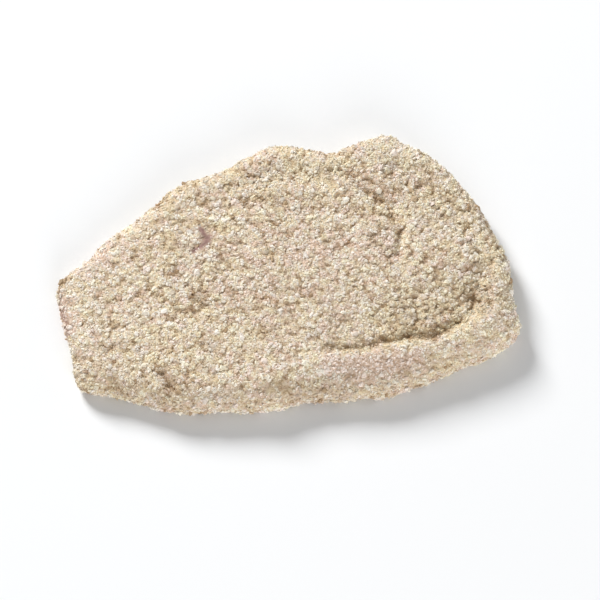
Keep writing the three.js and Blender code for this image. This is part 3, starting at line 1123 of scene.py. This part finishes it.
@dataclass(frozen=True)
class MeatSlice:
    """The slice under the coat, as rows of points from the middle of the top to the middle below.

    A paste of fine crumbs raises it, and hover keeps it off the surface that it lies on.
    """

    form: CutletForm
    dress: Dress
    finish: MeatFinish = MeatFinish()
    around: int = 600
    upper_rows: int = 100
    edge_rows: int = 22
    under_rows: int = 16
    paste: float = 0.18
    paste_brown_and_shade: float = 0.6
    hover: float = 0.2

    def rows(self) -> np.ndarray:
        """Rows of surface points, each round the slice: upper side, edge, underside.

        Returns:
            Points, by row, bearing and coordinate.
        """
        form = self.form
        bearing = form.outline.even_bearings(self.around)
        spread = (np.arange(self.upper_rows) + 1.0)[:, None, None] / self.upper_rows
        upper = form.upper(form.border(bearing)[None] * spread)
        angle = np.linspace(form.upper_end, math.pi, self.edge_rows + 1)[1:, None]
        edge = form.edge(np.broadcast_to(bearing, (self.edge_rows, self.around)), angle * np.ones(self.around))
        foot = edge[-1, :, :2] * (1.0 - np.arange(1, self.under_rows)[:, None, None] / self.under_rows)
        under = np.concatenate([foot, np.zeros(foot.shape[:2] + (1,))], axis=-1)
        return np.concatenate([upper, edge, under])

    def normals(self, rows: np.ndarray) -> np.ndarray:
        """Directions out of the surface: cross product of the steps down the rows and round them.

        Args:
            rows: Surface points, by row, bearing and coordinate.

        Returns:
            One unit vector for each point.
        """
        downward = np.gradient(rows, axis=0)
        along = (np.roll(rows, -1, axis=1) - np.roll(rows, 1, axis=1)) / 2
        return unit(np.cross(downward, along))

    def build(self) -> bpy.types.Object:
        """Makes the slice, raised by clumps, lumps and paste, with closed poles.

        Returns:
            The object.
        """
        rows = self.rows()
        normals = self.normals(rows)
        lift = self.form.clump(rows) + self.dress.crust.lift(rows) + self.paste
        rows = rows + normals * lift[..., None]
        rows[..., 2] = np.maximum(rows[..., 2], self.hover)
        top = np.array([0.0, 0.0, rows[0, :, 2].mean()])
        foot = np.array([0.0, 0.0, rows[-1, :, 2].mean()])
        points = np.concatenate([rows.reshape(-1, 3), [top, foot]])
        faces = self._faces(len(rows), len(points))
        numbers = {
            "bare": self.dress.bareness(points),
            "hue": self.dress.hue(points),
            # The paste's brown includes painted shade in gaps, pits, creases and along the edges.
            "toast_and_shade": self.dress.brownness_and_shade(points) * self.paste_brown_and_shade,
        }
        return Piece("meat_slice", points, faces, numbers).make(self.finish.build(), Slot.MEAT)

    def _faces(self, row_count: int, point_count: int) -> np.ndarray:
        """Two triangles for each cell between rows, and a fan round each pole.

        Args:
            row_count: How many rows there are.
            point_count: How many points there are, of which the last two are the poles.

        Returns:
            Faces, with their points counter-clockwise from outside.
        """
        k = np.arange(self.around)
        after = (k + 1) % self.around
        start = np.arange(row_count - 1)[:, None] * self.around
        a, b = start + k, start + after
        c, d = b + self.around, a + self.around
        cells = np.concatenate([np.stack([a, d, c], -1).reshape(-1, 3), np.stack([a, c, b], -1).reshape(-1, 3)])
        top, foot = point_count - 2, point_count - 1
        last = (row_count - 1) * self.around
        crown = np.stack([np.full_like(k, top), k, after], -1)
        sole = np.stack([np.full_like(k, foot), last + after, last + k], -1)
        return np.concatenate([cells, crown, sole])


# ---- The coat of crumbs ----


class Block(Enum):
    """The solid that a crumb is made from."""

    EIGHT = "octahedron"
    TWENTY = "icosahedron"
    THIRTY_TWO = "octahedron with split faces"

    def mesh(self) -> tuple[np.ndarray, np.ndarray]:
        """Points on the unit sphere, and faces that look outwards.

        Returns:
            The points and the faces.
        """
        golden = (1.0 + math.sqrt(5.0)) / 2
        poles = [sign * axis for axis in np.eye(3) for sign in (-1, 1)]
        if self is Block.TWENTY:
            edge = [np.array([a, b * golden, 0.0]) for a in (-1, 1) for b in (-1, 1)]
            points = [np.roll(point, turn) for turn in range(3) for point in edge]
        elif self is Block.THIRTY_TWO:
            points = poles + [p + q for i, p in enumerate(poles) for q in poles[i + 1:] if p @ q == 0]
        else:
            points = poles
        points = unit(np.array(points))
        return points, hull_faces(points)


def hull_faces(points: np.ndarray) -> np.ndarray:
    """Faces of a small convex solid: every three points whose plane has no other point outside it.

    Args:
        points: The solid's points, all on its surface.

    Returns:
        Faces, with their points counter-clockwise from outside.
    """
    found = []
    count = len(points)
    for a in range(count):
        for b in range(a + 1, count):
            for c in range(b + 1, count):
                normal = np.cross(points[b] - points[a], points[c] - points[a])
                side = (points - points[a]) @ normal
                if np.abs(side).max() < TINY or (side.max() > TINY and side.min() < -TINY):
                    continue
                found.append((a, b, c) if side.max() <= TINY else (a, c, b))
    return np.array(found)


@dataclass(frozen=True)
class CrumbKind:
    """One kind of crumb: where it lies, how closely, how long, how high and how pale."""

    name: str
    zone: Zone
    pitch: float
    length: Pair
    lift: Pair
    tone: Pair
    block: Block
    seed: int
    dent: float = 0.4
    browned_share: float = 0.02


@dataclass(frozen=True)
class CrumbCoat:
    """The coat: crumbs of every kind, laid on the slice and dressed by tone, hue and toast_and_shade, with painted
    light and shade in tone and painted shade in toast_and_shade.

    Width and height are shares of a crumb's length, and length_lean is the pair of a beta draw that leans to the
    short ones. Bareness times bare_clear, or pits times pit_clear, is the share of crumbs left out.
    """

    form: CutletForm
    dress: Dress
    length_lean: Pair = (2.0, 3.0)
    width: Pair = (0.6, 0.98)
    height: Pair = (0.4, 0.85)
    pressed: float = 0.9
    brown_swing: Pair = (0.2, 1.6)
    stray_brown: Pair = (0.2, 0.6)
    most_toast_and_shade: float = 0.9
    bare_clear: float = 1.1
    hue_swing: float = 0.05
    # Painted light by a corner's rise: upper corners lighter, lower ones darker.
    painted_top_light: float = 0.2
    fleck_tone: float = 0.1
    pit_clear: float = 0.9
    kinds: tuple[CrumbKind, ...] = (
        CrumbKind("crumb_dust", Zone.UPPER, 0.9, (0.6, 1.0), (-0.1, 0.3), (0.53, 0.78), Block.EIGHT, 10),
        CrumbKind("fine_crumbs", Zone.UPPER, 1.0, (0.9, 1.5), (-0.2, 0.3), (0.58, 0.88), Block.EIGHT, 11),
        CrumbKind("medium_crumbs", Zone.UPPER, 1.5, (1.2, 2.0), (-0.45, 0.25), (0.6, 0.9), Block.TWENTY, 12),
        CrumbKind("coarse_crumbs", Zone.UPPER, 3.8, (2.0, 2.8), (-0.6, 0.0), (0.65, 0.9), Block.THIRTY_TWO, 13),
        CrumbKind("edge_dust", Zone.EDGE, 0.9, (0.6, 1.0), (-0.1, 0.3), (0.53, 0.78), Block.EIGHT, 20),
        CrumbKind("fine_edge_crumbs", Zone.EDGE, 1.0, (0.9, 1.5), (-0.2, 0.3), (0.58, 0.88), Block.EIGHT, 21),
        CrumbKind("medium_edge_crumbs", Zone.EDGE, 1.5, (1.2, 2.0), (-0.45, 0.3), (0.6, 0.9), Block.TWENTY, 22),
        CrumbKind(
            "coarse_edge_crumbs", Zone.EDGE, 3.8, (2.0, 2.8), (-0.6, 0.1), (0.65, 0.9), Block.THIRTY_TWO, 23
        ),
        CrumbKind("loose_edge_crumbs", Zone.EDGE, 4.5, (1.4, 2.4), (0.1, 0.6), (0.5, 0.85), Block.TWENTY, 24),
        CrumbKind("fine_under_crumbs", Zone.UNDER, 1.2, (0.7, 1.3), (-0.5, -0.2), (0.4, 0.85), Block.EIGHT, 31),
        CrumbKind("medium_under_crumbs", Zone.UNDER, 1.5, (1.1, 1.9), (-0.6, -0.3), (0.5, 0.9), Block.TWENTY, 32),
    )

    def build(self, material: bpy.types.Material) -> list[bpy.types.Object]:
        """Lays every kind of crumb, and returns one object for each."""
        return [self._lay(kind).make(material, Slot.COAT) for kind in self.kinds]

    def _lay(self, kind: CrumbKind) -> Piece:
        """Makes one kind: a block for each place, stretched, dented, turned, pressed and lifted.

        Args:
            kind: The kind of crumb.

        Returns:
            The piece.
        """
        rng = np.random.default_rng(kind.seed)
        places = Scatter(self.form, self.dress.crust, kind.pitch).places(kind.zone, rng)
        bare = self.dress.bareness(places.points) * self.bare_clear
        free = np.maximum(bare, self.dress.crust.pits(places.points) * self.pit_clear)
        places = places.kept(rng.random(len(free)) > free)
        count = len(places.points)
        block, faces = kind.block.mesh()
        half = lerp(*kind.length, rng.beta(*self.length_lean, count)) / 2
        shares = [np.ones(count), rng.uniform(*self.width, count), rng.uniform(*self.height, count)]
        blocks = dented(block, half[:, None] * np.stack(shares, axis=-1), kind.dent, rng)
        shapes = turned(blocks, random_turns(rng, count))
        heights = np.einsum("nvi,ni->nv", shapes, places.normals)
        shapes -= (1.0 - self.pressed) * heights[..., None] * places.normals[:, None, :]
        centres = places.points + places.normals * rng.uniform(*kind.lift, count)[:, None]
        points = shapes + centres[:, None, :]
        points[..., 2] = np.maximum(points[..., 2], 0.0)
        rise = np.einsum("nvi,ni->nv", points - places.points[:, None, :], places.normals)
        # Per-crumb brown, which includes the painted shade of gaps, pits, creases and edges.
        browned_and_shaded = self.dress.brownness_and_shade(centres) * rng.uniform(*self.brown_swing, count)
        stray = (rng.random(count) < kind.browned_share) * rng.uniform(*self.stray_brown, count)
        tone = rng.uniform(*kind.tone, count) + self.dress.tone(centres)
        flecks = rng.uniform(-self.fleck_tone, self.fleck_tone, (count, len(block)))
        numbers = {
            # Painted light on each crumb's upper corners and painted shade on its lower ones, by their rise over
            # the surface.
            "tone": tone[:, None] + self.painted_top_light * rise + flecks,
            "hue": self.dress.hue(centres) + rng.uniform(-self.hue_swing, self.hue_swing, count),
            "toast_and_shade": np.clip(np.maximum(browned_and_shaded, stray), 0.0, self.most_toast_and_shade),
        }
        return crumb_piece(kind.name, points, faces, numbers, crumb_cells(block, faces, count))


def dented(block: np.ndarray, axes: np.ndarray, dent: float, rng: np.random.Generator) -> np.ndarray:
    """Copies of a block, stretched to three half axes each, with every corner moved in or out by up to dent."""
    dents = 1.0 + rng.uniform(-dent, dent, (len(axes), len(block), 1))
    return block[None] * dents * axes[:, None, :]


def turned(shapes: np.ndarray, turns: np.ndarray) -> np.ndarray:
    """Shapes turned about the origin: each point times its shape's matrix."""
    return np.einsum("nij,nvj->nvi", turns, shapes)


def crumb_piece(
    name: str, points: np.ndarray, faces: np.ndarray, numbers: Mapping[str, np.ndarray], uv: np.ndarray
) -> Piece:
    """Joins crumbs of one block into a flat-shaded piece.

    Args:
        name: The piece's name.
        points: Points by crumb, corner and coordinate.
        faces: The block's faces.
        numbers: One number for each crumb, or for each of its corners, by attribute.
        uv: Map coordinates for every corner of every face.

    Returns:
        The piece.
    """
    count, corners = points.shape[:2]
    all_faces = (faces[None] + corners * np.arange(count)[:, None, None]).reshape(-1, 3)
    shape = (count, corners)
    spread = {key: np.broadcast_to(values.reshape(count, -1), shape).ravel() for key, values in numbers.items()}
    return Piece(name, points.reshape(-1, 3), all_faces, spread, smooth=False, uv=uv)


@dataclass(frozen=True)
class Nuggets:
    """The largest crumbs, in the places and sizes of those that are joined to the solid.

    The nub is the one at the tip of the tail. Width and height are shares of a crumb's half length, and so is
    sink, which is how far its middle lies under the surface.
    """

    form: CutletForm
    dress: Dress
    count: int = 36
    half: Pair = (1.3, 2.2)
    width: Pair = (0.65, 0.95)
    height: Pair = (0.6, 0.9)
    sink: float = 0.45
    spread: float = 1.12
    nub_bearing: float = 1.026 * math.pi
    nub_half: float = 2.0
    nub_inset: float = 0.8
    dent: float = 0.12
    tone: Pair = (0.45, 0.85)
    seed: int = 41

    def build(self, material: bpy.types.Material) -> bpy.types.Object:
        """Makes the nuggets, each stretched, dented and turned its own way and part sunk into the coat.

        Args:
            material: The finish of every crumb.

        Returns:
            The object.
        """
        rng = np.random.default_rng(self.seed)
        index = np.arange(self.count + 1)
        half = lerp(*self.half, chance(index, Use.SIZE.value) ** 2)
        half[-1] = self.nub_half
        centres = np.concatenate([self._places(index[:-1]), self._nub()])
        centres[:, 2] = np.maximum(centres[:, 2] - half * self.sink, half)
        wide = lerp(*self.width, chance(index, Use.ACROSS.value))
        high = lerp(*self.height, chance(index, Use.HEIGHT.value))
        axes = half[:, None] * np.stack([np.ones_like(half), wide, high], axis=-1)
        block, faces = Block.THIRTY_TWO.mesh()
        shapes = turned(dented(block, axes, self.dent, rng), self._turns(index))
        numbers = {
            "tone": rng.uniform(*self.tone, len(index)) + self.dress.tone(centres),
            "hue": self.dress.hue(centres),
            # Brown that includes painted shade, as on the other crumbs.
            "toast_and_shade": self.dress.brownness_and_shade(centres),
        }
        uv = crumb_cells(block, faces, len(index))
        points = shapes + centres[:, None, :]
        points[..., 2] = np.maximum(points[..., 2], 0.0)
        return crumb_piece("nuggets", points, faces, numbers, uv).make(material, Slot.COAT)

    def _places(self, index: np.ndarray) -> np.ndarray:
        """Surface points at bearings a golden angle apart, spread as the square root of the place in the row.

        Args:
            index: Places in the row.

        Returns:
            One surface point for each, on the upper side up to its end and on the edge beyond it.
        """
        form = self.form
        bearing = (index * math.pi * (3.0 - math.sqrt(5.0)) + math.pi) % TURN - math.pi
        spread = self.spread * np.sqrt((index + chance(index, Use.ALONG.value)) / self.count)
        upper = form.upper(form.border(bearing) * spread[:, None])
        beyond = form.edge(bearing, form.upper_end + np.maximum(spread - 1.0, 0.0) * math.pi)
        return np.where(spread[:, None] < 1.0, upper, beyond)

    def _nub(self) -> np.ndarray:
        """Surface point of the nub, a little way in from the outline, as one row."""
        rim = self.form.outline.points(np.array([self.nub_bearing - TURN]))
        return self.form.upper(rim * (1.0 - self.nub_inset / np.linalg.norm(rim)))

    def _turns(self, index: np.ndarray) -> np.ndarray:
        """Turns about X, then Y, then Z, each by a steady share of half a turn.

        Args:
            index: Places in the row.

        Returns:
            One matrix of three by three for each.
        """
        turns = np.eye(3)[None]
        for axis, use in enumerate((Use.ROLL, Use.TIP, Use.SPIN)):
            angle = math.pi * chance(index, use.value)
            turn = np.zeros((len(index), 3, 3))
            after, last = (axis + 1) % 3, (axis + 2) % 3
            turn[:, axis, axis] = 1.0
            turn[:, after, after] = turn[:, last, last] = np.cos(angle)
            turn[:, last, after], turn[:, after, last] = np.sin(angle), -np.sin(angle)
            turns = turn @ turns
        return turns


def random_turns(rng: np.random.Generator, count: int) -> np.ndarray:
    """Even random turns: the matrices of unit quaternions drawn on the four-dimensional sphere.

    Args:
        rng: The source of the draws.
        count: How many turns.

    Returns:
        One matrix of three by three for each turn.
    """
    w, x, y, z = unit(rng.normal(size=(count, 4))).T
    rows = [
        [1 - 2 * (y * y + z * z), 2 * (x * y - w * z), 2 * (x * z + w * y)],
        [2 * (x * y + w * z), 1 - 2 * (x * x + z * z), 2 * (y * z - w * x)],
        [2 * (x * z - w * y), 2 * (y * z + w * x), 1 - 2 * (x * x + y * y)],
    ]
    return np.moveaxis(np.array(rows), -1, 0)


CELL_MIDDLES = (0.25, 0.75)
CELL_REACH = (0.2, 0.42)
"""Where the halves of a crumb lie across its cell of the map, and how far they reach across and along."""


def crumb_cells(block: np.ndarray, faces: np.ndarray, count: int) -> np.ndarray:
    """Map with one square cell for each crumb, its upper half seen from above and its lower half beside it.

    Args:
        block: The block's points on the unit sphere.
        faces: The block's faces.
        count: How many crumbs there are.

    Returns:
        Map coordinates for every corner of every face.
    """
    side = math.ceil(math.sqrt(count))
    corners = block[faces]
    lower = (corners[..., 2].mean(axis=1) < 0.0)[:, None]
    across = np.where(lower, CELL_MIDDLES[1], CELL_MIDDLES[0]) + corners[..., 0] * CELL_REACH[0]
    cell = np.stack([across, 0.5 + corners[..., 1] * CELL_REACH[1]], axis=-1)
    index = np.arange(count)
    start = np.stack([index % side, index // side], axis=-1)[:, None, None, :]
    return (start + cell[None]) / side


# ---- Studio ----


@dataclass(frozen=True)
class Lamp:
    """A round area light that looks at the part from a direction and a distance."""

    name: str
    direction: tuple[float, float, float]
    distance: float
    size: float
    watts: float

    def build(self) -> None:
        """Makes the light, with its back to the direction that it comes from."""
        light = bpy.data.lights.new(self.name, "AREA")
        light.shape = "DISK"
        light.size = self.size * MM
        light.energy = self.watts
        lamp = bpy.data.objects.new(self.name, light)
        towards = Vector(self.direction).normalized()
        lamp.location = towards * self.distance * MM
        lamp.rotation_euler = towards.to_track_quat("Z", "Y").to_euler()
        bpy.context.collection.objects.link(lamp)


@dataclass(frozen=True)
class Studio:
    """A pale floor, soft light from the back left, an even sky, and the camera.

    The image is so many pixels wide and high, shows scale pixels to the millimetre, and has the part's origin at
    centre. The clip range is in metres.
    """

    scale: float = 2.79
    image: int = 600
    centre: Pair = (288.5, 280.4)
    elevation: float = 60.0
    distance: float = 5000.0
    sensor: float = 36.0
    clip: Pair = (0.01, 20.0)
    floor_size: float = 4000.0
    floor_colour: Colour = (0.89, 0.9, 0.91)
    floor_roughness: float = 0.9
    lamps: tuple[Lamp, ...] = (
        Lamp("key", (-0.49, 0.70, 0.52), 2400.0, 840.0, 72.5),
        Lamp("fill", (0.25, -0.92, 0.30), 1300.0, 900.0, 10.5),
        Lamp("side", (0.95, 0.10, 0.25), 1300.0, 900.0, 2.5),
    )
    sky_colour: Colour = (1.0, 1.0, 1.0)
    sky: float = 0.26

    def build(self) -> None:
        """Makes the floor, the lamps, the sky and the camera."""
        self._floor()
        for lamp in self.lamps:
            lamp.build()
        self._sky()
        self._camera()
        bpy.context.scene.view_settings.view_transform = "Standard"

    def _floor(self) -> None:
        """A flat sheet just below the part."""
        half = self.floor_size / 2 * MM
        corners = [(-half, -half, 0.0), (half, -half, 0.0), (half, half, 0.0), (-half, half, 0.0)]
        mesh = bpy.data.meshes.new("floor")
        mesh.from_pydata(corners, [], [(0, 1, 2, 3)])
        finish = {"Base Color": self.floor_colour, "Roughness": self.floor_roughness}
        mesh.materials.append(Shader("pale_floor").finish(finish))
        floor = bpy.data.objects.new("floor", mesh)
        bpy.context.collection.objects.link(floor)

    def _sky(self) -> None:
        """An even light from all round."""
        world = bpy.data.worlds.new("sky")
        world.use_nodes = True
        background = world.node_tree.nodes["Background"]
        background.inputs["Color"].default_value = (*self.sky_colour, 1.0)
        background.inputs["Strength"].default_value = self.sky
        bpy.context.scene.world = world

    def _camera(self) -> None:
        """A long lens whose image has the part's origin at centre."""
        elevation = math.radians(self.elevation)
        back = Vector((0.0, -math.cos(elevation), math.sin(elevation)))
        right = Vector((1.0, 0.0, 0.0))
        up = back.cross(right)
        middle = self.image / 2
        aim = right * (middle - self.centre[0]) / self.scale + up * (self.centre[1] - middle) / self.scale
        data = bpy.data.cameras.new("camera")
        data.sensor_width = self.sensor
        data.lens = self.sensor * self.distance / (self.image / self.scale)
        data.clip_start, data.clip_end = self.clip
        camera = bpy.data.objects.new("camera", data)
        camera.location = (aim + back * self.distance) * MM
        camera.rotation_euler = back.to_track_quat("Z", "Y").to_euler()
        bpy.context.collection.objects.link(camera)
        bpy.context.scene.camera = camera


def main() -> None:
    """Builds the studio, the slice and its coat, and notes the sizes."""
    logging.basicConfig(level=logging.INFO, format="%(name)s %(message)s")
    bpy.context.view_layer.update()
    Studio().build()
    form, dress = CutletForm(), Dress()
    meat = MeatSlice(form, dress).build()
    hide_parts(NODE)
    crumb = CrumbFinish().build()
    coat = CrumbCoat(form, dress).build(crumb)
    LOG.info("coat: %d kinds of crumb", len(coat))
    Nuggets(form, dress).build(crumb)


if __name__ == "__main__":
    main()
